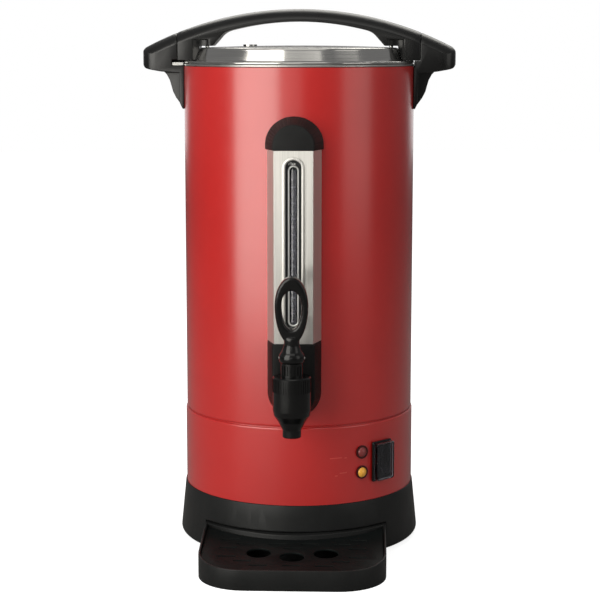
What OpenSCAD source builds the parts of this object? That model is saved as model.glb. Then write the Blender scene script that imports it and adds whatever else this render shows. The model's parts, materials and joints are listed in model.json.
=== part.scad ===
// Percolator coffee urn: painted double-wall body on a moulded base, lid with an arch handle
// between two side brackets, sight gauge over a lever tap, and a drip tray that slides out.
// Millimetres, +Z up. The origin is on the urn's axis at the level of the table; the tap faces -Y.

/* [Body] */
// Outside radius of the upper shell
body_r = 115; // [108:0.5:122]
// Height of the upper shell's top edge
rim_z = 478; // [450:1:510]
// Sheet thickness of both outer shells
shell_t = 1.0; // [0.8:0.1:1.3]
// Height of the rolled seam between the two shells
seam_z = 133; // [126:0.5:136]
// Rounding of the rolled edges at the seam
seam_round = 1.6; // [1.4:0.1:2.4]
// How far the lower shell stands outside the upper one
lower_step = 1.0; // [0.8:0.1:2]
// Height of the lower shell's collar inside the upper shell
collar_h = 9; // [5:0.5:14]

/* [Tank] */
// Air gap between the shell and the tank
tank_gap = 6; // [4.6:0.2:8]
// Sheet thickness of the tank
tank_t = 0.8; // [0.6:0.1:1.2]
// Height of the underside of the tank's floor
floor_z = 145; // [143.5:0.5:150]
// Rounding between the tank's wall and its floor
floor_round = 9; // [4:0.5:14]
// Radius of the pump well in the tank's floor
well_r = 25; // [20:0.5:32]
// Depth of the pump well
well_depth = 12; // [8:0.5:16]
// Radius of the bead rolled along the tank's rim
bead_r = 1.2; // [1:0.1:1.6]

/* [Base] */
// Height of the base moulding's top edge
base_h = 56; // [50:0.5:62]
// How far the base moulding flares out at its foot, from its top edge
base_flare = 5.2; // [2:0.2:9]
// Wall of the base moulding
skirt_t = 2.6; // [2:0.1:3.4]
// Height of the moulding's lower edge above the table
skirt_lift = 2.4; // [1:0.1:4]
// Height of the rubber foot ring
foot_h = 4.6; // [3.6:0.1:7]
// Width of the rubber foot ring
foot_w = 8; // [5:0.5:12]
// Sheet thickness of the bottom plate
plate_t = 1.2; // [0.8:0.1:2]
// Distance of the bottom plate's screws from the rib around them
base_screw_inset = 20.5; // [16:0.5:36]

/* [Lid] */
// Sheet thickness of the lid
lid_t = 0.9; // [0.7:0.1:1.2]
// Height of the lid's flange top above the shell's top edge
flange_h = 5.1; // [4.9:0.1:6.5]
// Height of the lid's shoulder above its flange
lid_rise = 13; // [10:0.5:16]
// Distance of the lid's raised wall inside the shell, where it leaves the flange
lid_inset = 12; // [11:0.5:17]
// How far the raised wall leans in towards its top
lid_wall_lean = 3.4; // [1:0.1:6]
// Rounding of the lid's shoulder
lid_round = 3; // [1.5:0.1:4]
// Height of the crown's centre above the shoulder
lid_crown = 2; // [0.5:0.1:4]
// Depth of the lid's inner skirt below its flange
lid_skirt = 10; // [6:0.5:14]
// Radius of the steam vent's boss
vent_r = 7; // [5:0.5:9]
// Distance of the steam vent from the lid's centre
vent_x = 49; // [40:1:60]
// Width of the lid's seal ring
seal_w = 5; // [3:0.2:6]

/* [Handles] */
// Radius of the top line that runs over the arch and both brackets
arch_r = 331.7; // [320:1:345]
// Height of the arch's top above the shell's top edge
arch_rise = 56; // [52:0.5:62]
// Front-to-back width of the arch and the brackets
handle_w = 34; // [28:0.5:40]
// Height of the rounded crown along the top line
handle_crown = 10; // [7:0.5:12]
// Reach of the brackets beyond the shell
bracket_reach = 41.3; // [36:0.1:47]
// Radius of the parting between the arch and the brackets, beyond the shell
parting_gap = 7; // [6.5:0.1:8]
// Thickness of the arch at its middle
arch_t = 12.4; // [10:0.2:15]
// Radius of the underside of the arch
arch_under_r = 268; // [255:1:285]
// Distance of the ends of the opening below the arch inside the shell
grip_inset = 29; // [27:0.5:35]
// Rounding of the opening's upper corners
grip_round = 18; // [14:0.5:20]
// Length of the opening's sloping ends
grip_run = 22.6; // [20:0.2:26]
// Length of a bracket's mounting plate below the shell's top edge
plate_drop = 42.5; // [36:0.5:50]
// Width of a bracket's gusset
gusset_w = 13; // [9:0.5:18]
// Depth of the slot that holds the lid catch
catch_slot = 5; // [3:0.2:7]

/* [Gauge] */
// Height of the gauge channel's lower end
gauge_z0 = 219; // [214:0.5:226]
// Height of the gauge channel's upper end
gauge_z1 = 401.5; // [385:0.5:412]
// Half width of the channel where it meets the shell
gauge_back = 24.9; // [23.5:0.1:27]
// Half width of the channel's front face
gauge_front = 18.6; // [16.5:0.1:20]
// Distance of the channel's front face from the shell
gauge_depth = 19.5; // [18.5:0.1:22]
// Sheet thickness of the channel
gauge_t = 1.0; // [0.8:0.1:1.3]
// Half width of the sight slot
slot_half = 7.6; // [6:0.1:8.4]
// Width of the raised border around the slot
border_w = 3; // [2:0.1:3.6]
// How far the black cap stands out beyond the channel's sides
cap_step = 1.9; // [1:0.1:4]
// Height of the cap's straight sides under its round top
cap_rise = 4.5; // [1:0.5:9]
// Outside radius of the sight tube
tube_r = 5; // [4.4:0.1:5.6]
// Wall of the sight tube
tube_t = 1.5; // [1:0.1:2]

/* [Tap] */
// Height of the tap's shank
tap_z = 176; // [173:0.5:180]
// Distance of the tap's barrel from the shell
tap_reach = 54; // [50:0.5:60]
// Radius of the barrel
barrel_r = 17.8; // [15:0.1:19]
// Height of the barrel's top
barrel_top = 195; // [193:0.5:200]
// Height of the barrel's lower end, where the taper starts
barrel_low = 158; // [154:0.5:159]
// Outside radius of the spout
spout_r = 8.75; // [7.8:0.05:10]
// Height of the spout's tip
spout_z = 137; // [130:0.5:140]
// Bore of the spout
spout_bore = 6; // [4:0.1:6.4]
// Radius of the valve chamber
chamber_r = 9.6; // [9:0.1:10.4]
// Height of the valve seat
seat_z = 162; // [160:0.5:164]
// Radius of the shank
shank_r = 8; // [7:0.1:8.4]
// Bore of the shank
shank_bore = 5; // [4:0.1:5.6]
// Radius of the ribbed bonnet
bonnet_r = 10.2; // [9.8:0.1:11.5]
// Height of the bonnet above the barrel
bonnet_h = 12.5; // [11:0.1:14]
// Radius of the valve stem
stem_r = 3; // [2.6:0.1:3.4]
// Radius of the lever pin
pin_r = 1.25; // [1:0.05:1.5]

/* [Lever] */
// Radius of the lever's base
lever_base_r = 11.8; // [11:0.1:12.4]
// Height of the lever pin above the bonnet
lever_pin_h = 4.5; // [4.2:0.1:5]
// Half width of the lever's neck
neck_half = 7; // [5.8:0.1:7.6]
// Height of the loop's widest line above the lever pin
loop_z = 50; // [46:0.5:56]
// Half width of the loop
loop_half = 15.2; // [13.5:0.1:17]
// Height of the loop above its widest line
loop_up = 27.5; // [24:0.5:32]
// Half width of the finger hole
hole_half = 9.7; // [8:0.1:10.5]
// Height of the finger hole above its widest line
hole_up = 15.5; // [13:0.5:18]
// Depth of the finger hole below its widest line
hole_down = 22.5; // [19:0.5:25]
// Front-to-back thickness of the loop
lever_t = 10; // [8:0.5:11]
// How far the lever leans forward, in degrees
lever_lean = 6; // [2:0.5:10]

/* [Drip tray] */
// Half width of the tray
tray_half = 89.3; // [84:0.1:92]
// Distance of the tray's front from the urn's axis, beyond the shell
tray_reach = 93.5; // [85:0.5:105]
// Rounding of the tray's front corners
tray_round = 46; // [35:0.5:55]
// Height of the tray's front edge
tray_front_h = 20; // [18.5:0.5:23]
// Height of the tray's edge at the base moulding
tray_back_h = 29.5; // [27:0.5:32]
// Wall of the tray
tray_t = 2.2; // [1.8:0.1:3]
// Height of the grid's top at its front edge
grid_z = 18.2; // [16:0.2:18.4]
// Rise of the grid towards the back, in degrees
grid_rise = 4.3; // [2:0.1:5]
// Thickness of the grid
grid_t = 2; // [1.5:0.1:3]
// Diameter of the grid's round holes
grid_hole_d = 23.5; // [16:0.5:25]
// Length of the grid's slots
grid_slot_l = 17; // [12:0.5:19]
// Width of the grid's slots
grid_slot_w = 2.4; // [1.5:0.1:3]
// Distance between the rows of slots
grid_row = 11; // [9:0.5:14]

/* [Controls] */
// Angle of the two lamps, from the front towards the right
lamp_angle = 34; // [31:0.1:34.6]
// Height of the upper, heating lamp
lamp_heat_z = 105.5; // [103:0.5:110]
// Height of the lower, ready lamp
lamp_ready_z = 85.3; // [78:0.1:87]
// Radius of a lamp's bezel
lamp_r = 6.6; // [5.8:0.1:7]
// Angle of the switch, from the front towards the right
switch_angle = 46.2; // [46.2:0.1:52]
// Height of the switch's middle
switch_z = 93.8; // [90:0.1:98]
// Width of the switch's frame
switch_w = 26; // [25:0.5:30]
// Height of the switch's frame
switch_h = 40; // [36:0.5:44]
// Tilt of the rocker from its middle position, in degrees
rocker_tilt = 9; // [6:0.5:10]
// Height of the mains inlet's middle
inlet_z = 92; // [84:0.5:98]

/* [Heating] */
// Radius of the ring of the keep-warm element
element_ring_r = 74; // [66:1:84]
// Radius of the keep-warm element's tube
element_r = 3.6; // [3:0.1:4.5]
// Height of the pump heater
heater_h = 14; // [10:0.5:18]
// Radius of a thermostat
thermo_r = 8; // [6:0.2:9]

/* [Percolator] */
// Outside radius of the pump tube
pump_r = 6; // [5:0.1:7]
// Distance of the pump tube's top below the shell's top edge
pump_below = 3; // [2:0.5:12]
// Radius of the coffee basket
basket_r = 76; // [60:1:86]
// Height of the coffee basket
basket_h = 86; // [60:1:100]
// Distance of the basket's top below the shell's top edge
basket_below = 27; // [20:0.5:40]
// Sheet thickness of the pump and the basket
brew_t = 0.8; // [0.6:0.1:1.2]

/* [Hidden] */
$fn = 72;
// Gap between two pieces that only lie against each other
seat_gap = 0.2;
// Gap between two pieces that rest face to face
face_gap = 0.1;
// Radial clearance of a running fit
fit = 0.05;
// Gap between two pieces that pass each other
run_gap = 0.6;
// Overlap of cutting solids
cut = 1;

tank_r = body_r - shell_t - tank_gap;
tank_in_r = tank_r - tank_t;
well_z = floor_z - well_depth;
tank_seam_z = floor_z + floor_round + 1;
lower_r = body_r + lower_step;
collar_r = body_r - seam_round - face_gap;
base_top_r = lower_r + 0.6;
base_foot_r = base_top_r + base_flare;
rib_out_r = body_r - 4.5;
rib_in_r = rib_out_r - 2;
base_plate_z = foot_h + face_gap;
base_plate_top = base_plate_z + plate_t;
foot_out_r = rib_in_r - 2;
base_screw_pcr = rib_in_r - base_screw_inset;
lid_flange_z = rim_z + flange_h;
lid_shoulder_z = lid_flange_z + lid_rise;
lid_crown_z = lid_shoulder_z + lid_crown;
lid_wall_r = body_r - lid_inset;
skirt_r = lid_wall_r + 2;
parting_r = body_r + parting_gap;
handle_reach = body_r + bracket_reach;
grip_half = body_r - grip_inset;
arch_top_z = rim_z + arch_rise;
arch_centre_z = arch_top_z - arch_r;
grip_top_z = arch_top_z - arch_t;
lid_screw_x = grip_half + 6;
barrel_y = -(body_r + tap_reach);
gauge_y = -(body_r + gauge_depth);
tube_y = gauge_y + gauge_t + tube_r + 1.6;
tee_r = tube_r + 1.8;
tube_z0 = tap_z + 15;
slot_z0 = gauge_z0 + 10;
slot_z1 = gauge_z1 - 8.8;
cap_r = gauge_back + cap_step;
house_wall = 2;
house_y = gauge_y - 1.5;
house_back = gauge_back + 0.6;
house_front = gauge_front + 1.2;
house_z = tap_z - 7;
bonnet_z = barrel_top + face_gap;
bonnet_top = bonnet_z + bonnet_h;
pin_z = bonnet_top + lever_pin_h;
spring_low = seat_z + 12.2;
spring_high = bonnet_top - 4.6;
tray_y = -(body_r + tray_reach);
tray_gap_z = tray_back_h + run_gap;
ridge_in_r = base_foot_r + run_gap;
tongue_in_r = rib_out_r + run_gap;
basket_top = rim_z - basket_below;
basket_z = basket_top - basket_h;
pump_top = rim_z - pump_below;

// Points along an arc, from angle a0 to angle a1 in degrees
function arc(c, r, a0, a1, n = 6) =
    [for (i = [0:n]) let (a = a0 + (a1 - a0) * i / n) [c[0] + r * cos(a), c[1] + r * sin(a)]];

// Points of an egg: half an ellipse above its widest line, and half of another below it
function egg(c, rx, up, down, n = 48) =
    [for (i = [0:n - 1]) let (a = 360 * i / n) [c[0] + rx * cos(a), c[1] + (a < 180 ? up : down) * sin(a)]];

// A list in reverse order
function back(v) = [for (i = [len(v) - 1:-1:0]) v[i]];

// A rectangle with rounded corners, centred
module round_rect(w, h, r) {
    polygon(concat(
        arc([w / 2 - r, h / 2 - r], r, 0, 90),
        arc([-w / 2 + r, h / 2 - r], r, 90, 180),
        arc([-w / 2 + r, -h / 2 + r], r, 180, 270),
        arc([w / 2 - r, -h / 2 + r], r, 270, 360)
    ));
}

// A tube or ring about Z
module ring(r_in, r_out, h) {
    difference() {
        cylinder(r = r_out, h = h);
        translate([0, 0, -cut]) cylinder(r = r_in, h = h + 2 * cut);
    }
}

// An upright cylinder about the urn's axis, whose start line faces the back
module drum(r, h) {
    rotate([0, 0, 90]) cylinder(r = r, h = h);
}

// Places its children on the lower shell: x along the surface, y up, z outwards
module on_panel(angle, z) {
    rotate([0, 0, angle]) translate([0, -lower_r, z]) rotate([90, 0, 0]) children();
}

// Places its children with their z along -Y, at a distance y from the urn's axis
module facing_front(y, z) {
    translate([0, y, z]) rotate([90, 0, 0]) children();
}

// A pan-head screw: head below z = 0, shank above it
module screw(r, length, head_r, head_h) {
    cylinder(r = r, h = length);
    translate([0, 0, -head_h]) cylinder(r = head_r, h = head_h);
}

/* ---- body ---- */

module shank_hole() {
    facing_front(0, tap_z) cylinder(r = shank_r + seat_gap, h = body_r + 2 * cut);
}

handle_screw_z = [-13, -27];
handle_screw_r = 2;
handle_screw_l = 6;

module handle_screw_holes(r, reach) {
    for (side = [0, 180], z = handle_screw_z)
        rotate([0, 0, side]) translate([0, 0, rim_z + z]) rotate([0, 90, 0]) cylinder(r = r, h = reach);
}

module outer_shell() {
    c = [body_r - seam_round, seam_z + 1 + seam_round];
    top = rim_z - face_gap;
    color("firebrick") difference() {
        rotate_extrude() polygon(concat(
            arc(c, seam_round, -90, 0),
            [[body_r, top], [body_r - shell_t, top]],
            arc(c, seam_round - shell_t, 0, -90)
        ));
        shank_hole();
        handle_screw_holes(handle_screw_r + seat_gap, body_r + cut);
    }
}

switch_body_w = switch_w - 5;
switch_body_h = switch_h - 5;
inlet_body_w = 27.4;
inlet_body_h = 20;
inlet_pitch = 40;
inlet_screw_r = 1.6;
lamp_body_r = 4.4;

// Cutout for a snap-in body of the given size
module panel_hole(w, h) {
    translate([0, 0, -10]) linear_extrude(20) square([w + 2 * seat_gap, h + 2 * seat_gap], center = true);
}

module base_shell() {
    top = seam_z - face_gap;
    c = [lower_r - seam_round, top - seam_round];
    color("firebrick") difference() {
        rotate_extrude() polygon(concat(
            [[lower_r, base_h - 4]],
            arc(c, seam_round, 0, 90),
            [
                [collar_r, top], [collar_r, seam_z + collar_h],
                [collar_r - shell_t, seam_z + collar_h], [collar_r - shell_t, top - shell_t]
            ],
            arc(c, seam_round - shell_t, 90, 0),
            [[lower_r - shell_t, base_h - 4]]
        ));
        on_panel(switch_angle, switch_z) panel_hole(switch_body_w, switch_body_h);
        for (z = [lamp_heat_z, lamp_ready_z])
            on_panel(lamp_angle, z) translate([0, 0, -10]) cylinder(r = lamp_body_r + seat_gap, h = 20);
        on_panel(180, inlet_z) {
            panel_hole(inlet_body_w, inlet_body_h);
            for (x = [-1, 1])
                translate([x * inlet_pitch / 2, 0, -10]) cylinder(r = inlet_screw_r + seat_gap, h = 20);
        }
    }
}

// The tank's wall, with the bead that holds the outer shell along its rim
module tank() {
    bead = [body_r - bead_r, rim_z + bead_r];
    bead_end = 180 + asin((bead_r - tank_t) / bead_r);
    color("silver") difference() {
        rotate_extrude() polygon(concat(
            [[tank_r, tank_seam_z], [tank_r, rim_z]],
            arc(bead, bead_r, -90, bead_end, 14),
            [[tank_in_r, rim_z + tank_t], [tank_in_r, tank_seam_z]]
        ));
        shank_hole();
    }
}

// The tank's pressed floor, welded to the wall's lower edge
module tank_floor() {
    top = tank_seam_z - face_gap;
    corner = [tank_r - floor_round, floor_z + floor_round];
    color("silver") rotate_extrude() polygon(concat(
        [[0, well_z], [well_r, well_z], [well_r, floor_z]],
        arc(corner, floor_round, -90, 0),
        [[tank_r, top], [tank_in_r, top]],
        arc(corner, floor_round - tank_t, 0, -90),
        [[well_r - tank_t, floor_z + tank_t], [well_r - tank_t, well_z + tank_t], [0, well_z + tank_t]]
    ));
}

/* ---- base ---- */

boss_r = 5;
base_screw_r = 2;

module base_screw_places() {
    for (a = [45:90:315]) rotate([0, 0, a]) translate([base_screw_pcr, 0, 0]) children();
}

module tray_opening() {
    translate([-tray_half - run_gap, -body_r - 40, -cut])
        cube([2 * (tray_half + run_gap), body_r + 40, tray_gap_z + cut]);
}

module base_ring() {
    ledge_z = base_h - 4 - face_gap;
    lip_in = lower_r + seat_gap;
    foot_round = 5;
    color("#262626") union() {
        difference() {
            rotate_extrude() polygon(concat(
                [[lip_in, base_h], [base_top_r + skirt_t - 2.2, base_h - 0.4]],
                arc([base_foot_r - foot_round, skirt_lift + foot_round], foot_round, 6, -80),
                [
                    [base_foot_r - foot_round, skirt_lift + 0.6],
                    [base_foot_r - skirt_t - 0.8, skirt_lift + foot_round],
                    [base_top_r - skirt_t, ledge_z - skirt_t - 6], [rib_in_r, ledge_z - skirt_t],
                    [rib_in_r, ledge_z], [lip_in, ledge_z]
                ]
            ));
            tray_opening();
        }
        translate([0, 0, base_plate_top + face_gap])
            ring(rib_in_r, rib_out_r, ledge_z - base_plate_top - face_gap);
        // screw bosses, each with a web to the rib
        difference() {
            base_screw_places() translate([0, 0, base_plate_top + face_gap]) {
                cylinder(r = boss_r, h = 24);
                translate([0, -1.5, 0]) cube([rib_in_r - base_screw_pcr + 1, 3, 24]);
            }
            base_screw_places() translate([0, 0, base_plate_z]) cylinder(r = base_screw_r + seat_gap, h = 18);
        }
    }
}

reset_x = -34;
reset_y = 42;
reset_r = 2.5;

module bottom_plate() {
    vent_w = 3.2;
    vent_l = 34;
    through = plate_t + 2 * cut;
    color("dimgray") translate([0, 0, base_plate_z]) difference() {
        cylinder(r = rib_out_r, h = plate_t);
        base_screw_places() translate([0, 0, -cut]) cylinder(r = base_screw_r + seat_gap, h = through);
        translate([reset_x, reset_y, -cut]) cylinder(r = reset_r + 0.8, h = through);
        for (i = [-4:4]) translate([i * 9 - vent_w / 2, -50, -cut]) cube([vent_w, vent_l, through]);
    }
}

module foot_ring() {
    color("#141414") rotate_extrude() polygon([
        [foot_out_r - foot_w, foot_h], [foot_out_r - foot_w + 1, 0],
        [foot_out_r - 1, 0], [foot_out_r, foot_h]
    ]);
}

module base_screws() {
    color("silver") base_screw_places()
        translate([0, 0, base_plate_z - face_gap]) screw(base_screw_r, 16, 3.6, 2.2);
}

/* ---- lid ---- */

lid_screw_r = 2;

module lid() {
    wall_top = [lid_wall_r - lid_wall_lean, lid_shoulder_z - lid_round];
    shoulder = [wall_top[0] - lid_round, lid_shoulder_z - lid_round];
    edge = [body_r - bead_r, lid_flange_z - bead_r];
    edge_end = -90 - asin((bead_r - 0.2) / bead_r) / 2;
    crown = [for (i = [0:5]) let (r = shoulder[0] * i / 5) [r, lid_crown_z - lid_crown * pow(i / 5, 2)]];
    color("gainsboro") difference() {
        union() {
            rotate_extrude() {
                polygon(concat(
                    crown,
                    arc(shoulder, lid_round, 80, 8, 5),
                    [[lid_wall_r, lid_flange_z + 0.8], [lid_wall_r + 0.8, lid_flange_z]],
                    arc(edge, bead_r, 90, edge_end, 8),
                    [[edge[0] - bead_r, lid_flange_z - lid_t], [lid_wall_r - lid_t, lid_flange_z - lid_t]],
                    arc(shoulder, lid_round - lid_t, 8, 80, 5),
                    [for (p = back(crown)) [p[0], p[1] - lid_t]]
                ));
                translate([skirt_r - lid_t, lid_flange_z - lid_skirt])
                    square([lid_t, lid_skirt - lid_t / 2]);
            }
            translate([-vent_x, 0, lid_shoulder_z]) cylinder(r = vent_r, h = lid_crown + 1);
        }
        translate([-vent_x, 0, lid_shoulder_z - 4]) cylinder(r = vent_r - 2, h = 4.6);
        translate([-vent_x, 0, lid_shoulder_z - 4]) cylinder(r = 1.5, h = 12);
        for (x = [-1, 1])
            translate([x * lid_screw_x, 0, lid_shoulder_z - 6]) cylinder(r = lid_screw_r + seat_gap, h = 12);
    }
}

module lid_seal() {
    z0 = rim_z + tank_t + face_gap;
    z1 = lid_flange_z - lid_t - face_gap;
    r = skirt_r + seat_gap;
    color("whitesmoke") translate([0, 0, z0]) ring(r, r + seal_w, z1 - z0);
}

module lid_screws() {
    color("silver") for (x = [-1, 1])
        translate([x * lid_screw_x, 0, lid_shoulder_z - lid_t - 0.9]) screw(lid_screw_r, 14, 3.6, 2.2);
}

/* ---- handles ---- */

// One long blank, with its rounded crown and ends, that the arch and both brackets are cut from
module handle_blank() {
    crown_r = (pow(handle_w / 2, 2) + pow(handle_crown, 2)) / (2 * handle_crown);
    half_angle = asin(handle_w / 2 / crown_r) + 6;
    side = crown_r * sin(half_angle);
    intersection() {
        translate([0, 0, arch_centre_z]) rotate([90, 0, 0]) rotate_extrude($fn = 180) polygon(concat(
            [[arch_r / 2, -side]],
            arc([arch_r - crown_r, 0], crown_r, -half_angle, half_angle, 12),
            [[arch_r / 2, side]]
        ));
        translate([0, 0, rim_z - 10]) linear_extrude(arch_rise + 20)
            round_rect(2 * handle_reach, handle_w, handle_w / 2 - 3);
    }
}

// Side outline of a bracket's block, seen from the front, x outwards
module block_outline() {
    top_round = 9;
    end_x = handle_reach;
    polygon(concat(
        [[body_r, -7], [end_x - 19.3, -5.6], [end_x - 7.8, -3.6]],
        arc([end_x - 6, 3], 6, -70, 0, 4),
        arc([end_x - top_round, 11.5], top_round, 0, 62),
        [[end_x - 18, arch_rise], [body_r, arch_rise]]
    ));
}

// Side outline of a bracket's gusset
module gusset_outline() {
    // distance from the shell, and depth as a part of the plate's length
    profile = [
        [22, 0.09], [17.6, 0.2], [14.6, 0.33], [13, 0.46], [11.4, 0.6], [8.4, 0.74], [3.8, 0.89], [0, 0.97]
    ];
    polygon(concat([[body_r, 0]], [for (p = profile) [body_r + p[0], -p[1] * plate_drop]]));
}

// A bracket on the right side; the left one is the same piece turned half round
module bracket() {
    slot_low = 0.6;
    slot_high = flange_h + cut;
    plate_reach = 3.6;
    difference() {
        union() {
            intersection() {
                handle_blank();
                translate([0, handle_w / 2 + cut, rim_z]) rotate([90, 0, 0])
                    linear_extrude(handle_w + 2 * cut) block_outline();
            }
            translate([0, gusset_w / 2, rim_z]) rotate([90, 0, 0])
                linear_extrude(gusset_w) gusset_outline();
            translate([0, handle_w / 2, rim_z]) rotate([90, 0, 0]) linear_extrude(handle_w) polygon([
                [body_r - 8, -plate_drop], [body_r + 0.8, -plate_drop],
                [body_r + plate_reach, 6 - plate_drop], [body_r + plate_reach, 0], [body_r - 8, 0]
            ]);
        }
        drum(body_r + seat_gap, rim_z - cut);
        translate([0, 0, rim_z - 2 * cut]) drum(body_r + 2 * seat_gap, 100);
        translate([0, 0, lid_flange_z]) drum(parting_r, 100);
        // slot for the lid catch, open at the bracket's rear face
        intersection() {
            translate([0, 0, rim_z + slot_low]) ring(body_r, parting_r + catch_slot, slot_high - slot_low);
            translate([0, -6, rim_z + slot_low]) cube([200, handle_w, 20]);
        }
        handle_screw_holes(handle_screw_r + face_gap, body_r + handle_screw_l + 0.5);
    }
}

module handle_right() {
    color("#1c1c1c") bracket();
}

module handle_left() {
    color("#1c1c1c") rotate([0, 0, 180]) bracket();
}

module handle_screws() {
    seat = body_r - shell_t - face_gap - seat_gap;
    color("silver") for (side = [0, 180], z = handle_screw_z)
        rotate([0, 0, side]) translate([seat, 0, rim_z + z]) rotate([0, 90, 0])
            screw(handle_screw_r, handle_screw_l, 3.4, 2);
}

// Steel catch plates in the slots of the brackets
module lid_catches() {
    color("silver") for (side = [0, 180]) rotate([0, 0, side]) intersection() {
        translate([0, 0, rim_z + 0.6 + face_gap]) ring(body_r + 1.2, parting_r + catch_slot - seat_gap, 2.8);
        translate([0, -5.6, rim_z]) cube([200, handle_w / 2 + 3.6, 10]);
    }
}

module lid_handle() {
    hollow_r = 11;
    room_h = lid_rise - lid_round - 0.8;
    under_c = grip_top_z - arch_under_r;
    corner_x = grip_half - grip_run;
    tangent = acos(corner_x / (arch_under_r - grip_round));
    corner_z = under_c + (arch_under_r - grip_round) * sin(tangent);
    corner = arc([corner_x, corner_z], grip_round, 38, tangent);
    color("#1c1c1c") difference() {
        intersection() {
            handle_blank();
            translate([0, 0, lid_flange_z + seat_gap]) drum(parting_r - 0.3, 80);
        }
        // the opening under the arch
        translate([0, handle_w, 0]) rotate([90, 0, 0]) linear_extrude(2 * handle_w) polygon(concat(
            [[-grip_half, lid_crown_z - 30], [-grip_half, lid_crown_z - 1]],
            [for (p = corner) [-p[0], p[1]]],
            arc([0, under_c], arch_under_r, 179 - tangent, tangent + 1, 14),
            back(corner),
            [[grip_half, lid_crown_z - 1], [grip_half, lid_crown_z - 30]]
        ));
        // room for the lid's raised middle
        drum(lid_wall_r + 0.8 + seat_gap, lid_flange_z + 0.8);
        for (i = [0:3])
            drum(lid_wall_r - lid_wall_lean * i / 4 + seat_gap, lid_flange_z + 0.8 + room_h * (i + 1) / 4);
        drum(lid_wall_r - lid_wall_lean + seat_gap, lid_shoulder_z + 0.7 * lid_crown + seat_gap);
        // hollows beside the end columns
        for (x = [-1, 1], y = [-1, 1])
            translate([x * (grip_half + hollow_r), y * (handle_w / 2 + 7.5), 0])
                cylinder(r = hollow_r, h = lid_crown_z + 6);
        for (x = [-1, 1])
            translate([x * lid_screw_x, 0, 0]) cylinder(r = lid_screw_r + face_gap, h = lid_crown_z + 12);
    }
}

/* ---- gauge ---- */

// Cross-section of the channel, seen from above, reaching into the shell by the given depth
module channel_section(inset, depth) {
    slope = (gauge_back - gauge_front) / gauge_depth;
    wide = gauge_back + slope * depth - inset * 1.1;
    narrow = gauge_front - inset * 0.75;
    polygon([
        [-wide, depth - body_r], [-narrow, gauge_y + inset], [narrow, gauge_y + inset], [wide, depth - body_r]
    ]);
}

// Outline of the sight slot, seen from the front
module slot_outline(grow) {
    r = slot_half + grow;
    z0 = slot_z0 + slot_half;
    z1 = slot_z1 - slot_half;
    polygon(concat(arc([0, z1], r, 0, 180, 16), arc([0, z0], r, 180, 360, 16)));
}

module gauge_channel() {
    border_h = 1.2;
    color("silver") difference() {
        union() {
            translate([0, 0, gauge_z0]) linear_extrude(gauge_z1 - gauge_z0) difference() {
                channel_section(0, 8);
                channel_section(gauge_t, 8 + cut);
            }
            facing_front(gauge_y + gauge_t / 2, 0)
                linear_extrude(gauge_t / 2 + border_h) slot_outline(border_w);
        }
        facing_front(gauge_y + 5, 0) linear_extrude(10) slot_outline(0);
        cylinder(r = body_r + seat_gap, h = rim_z);
    }
}

// A cone about -Y from the shell to the front plane
module fairing_cone(r_back, r_front, front_y) {
    slope = (r_back - r_front) / (-front_y - body_r);
    extra = 8;
    rotate([90, 0, 0]) translate([0, 0, body_r - extra])
        cylinder(r1 = r_back + slope * extra, r2 = r_front, h = -front_y - body_r + extra);
}

// The cap's form, smaller by an inset: half a cone on straight sides that reach down by a drop
module cap_form(inset, drop) {
    z = gauge_z1 + seat_gap + cap_rise;
    front_y = gauge_y - 0.8 + inset;
    back = cap_r - inset;
    front = gauge_front + 0.7 - inset;
    side = back + 8 * (back - front) / (-front_y - body_r);
    intersection() {
        translate([0, 0, z]) fairing_cone(back, front, front_y);
        translate([-60, -body_r - 60, z]) cube([120, body_r + 60, 60]);
    }
    translate([0, 0, z - drop]) linear_extrude(drop)
        polygon([[-side, 8 - body_r], [-front, front_y], [front, front_y], [side, 8 - body_r]]);
}

module gauge_cap() {
    color("#1c1c1c") difference() {
        cap_form(0, cap_rise);
        cap_form(2, cap_rise + cut);
        cylinder(r = body_r + seat_gap, h = rim_z);
    }
}

module gauge_backing() {
    color("#202024") translate([-slot_half - 3, -body_r - seat_gap - 1, gauge_z0 - 4])
        cube([2 * slot_half + 6, 1, gauge_z1 - gauge_z0 + 2]);
}

module sight_tube() {
    top = slot_z1 - 4.7;
    color("lightcyan") translate([0, tube_y, 0]) rotate_extrude() polygon(concat(
        [[tube_r, tube_z0]],
        arc([0, top - tube_r], tube_r, 0, 74, 8),
        [[tube_r * cos(74), top - tube_r + (tube_r - tube_t) * sin(60)]],
        arc([0, top - tube_r], tube_r - tube_t, 60, 0, 8),
        [[tube_r - tube_t, tube_z0]]
    ));
}

module gauge_tee() {
    y0 = -(body_r + seat_gap);
    y1 = house_y + house_wall + seat_gap;
    color("#2a2a2a") difference() {
        union() {
            facing_front(y0 + 1, tap_z) cylinder(r = shank_r + 4, h = y0 + 1 - y1);
            translate([0, tube_y, tap_z]) cylinder(r = tee_r, h = 27);
        }
        facing_front(y0 + 2, tap_z) cylinder(r = shank_r + face_gap, h = 40);
        translate([0, tube_y, tube_z0 - 1]) cylinder(r = tube_r + face_gap, h = 40);
        translate([0, tube_y, tap_z]) cylinder(r = 2.5, h = 20);
        cylinder(r = body_r + seat_gap, h = rim_z);
    }
}

module tube_gland() {
    color("#2a2a2a") translate([0, tube_y, tap_z + 27 + face_gap]) difference() {
        cylinder(r = tee_r + 0.6, h = 6, $fn = 6);
        translate([0, 0, -cut]) cylinder(r = tube_r + face_gap, h = 10);
    }
}

/* ---- tap ---- */

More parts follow.
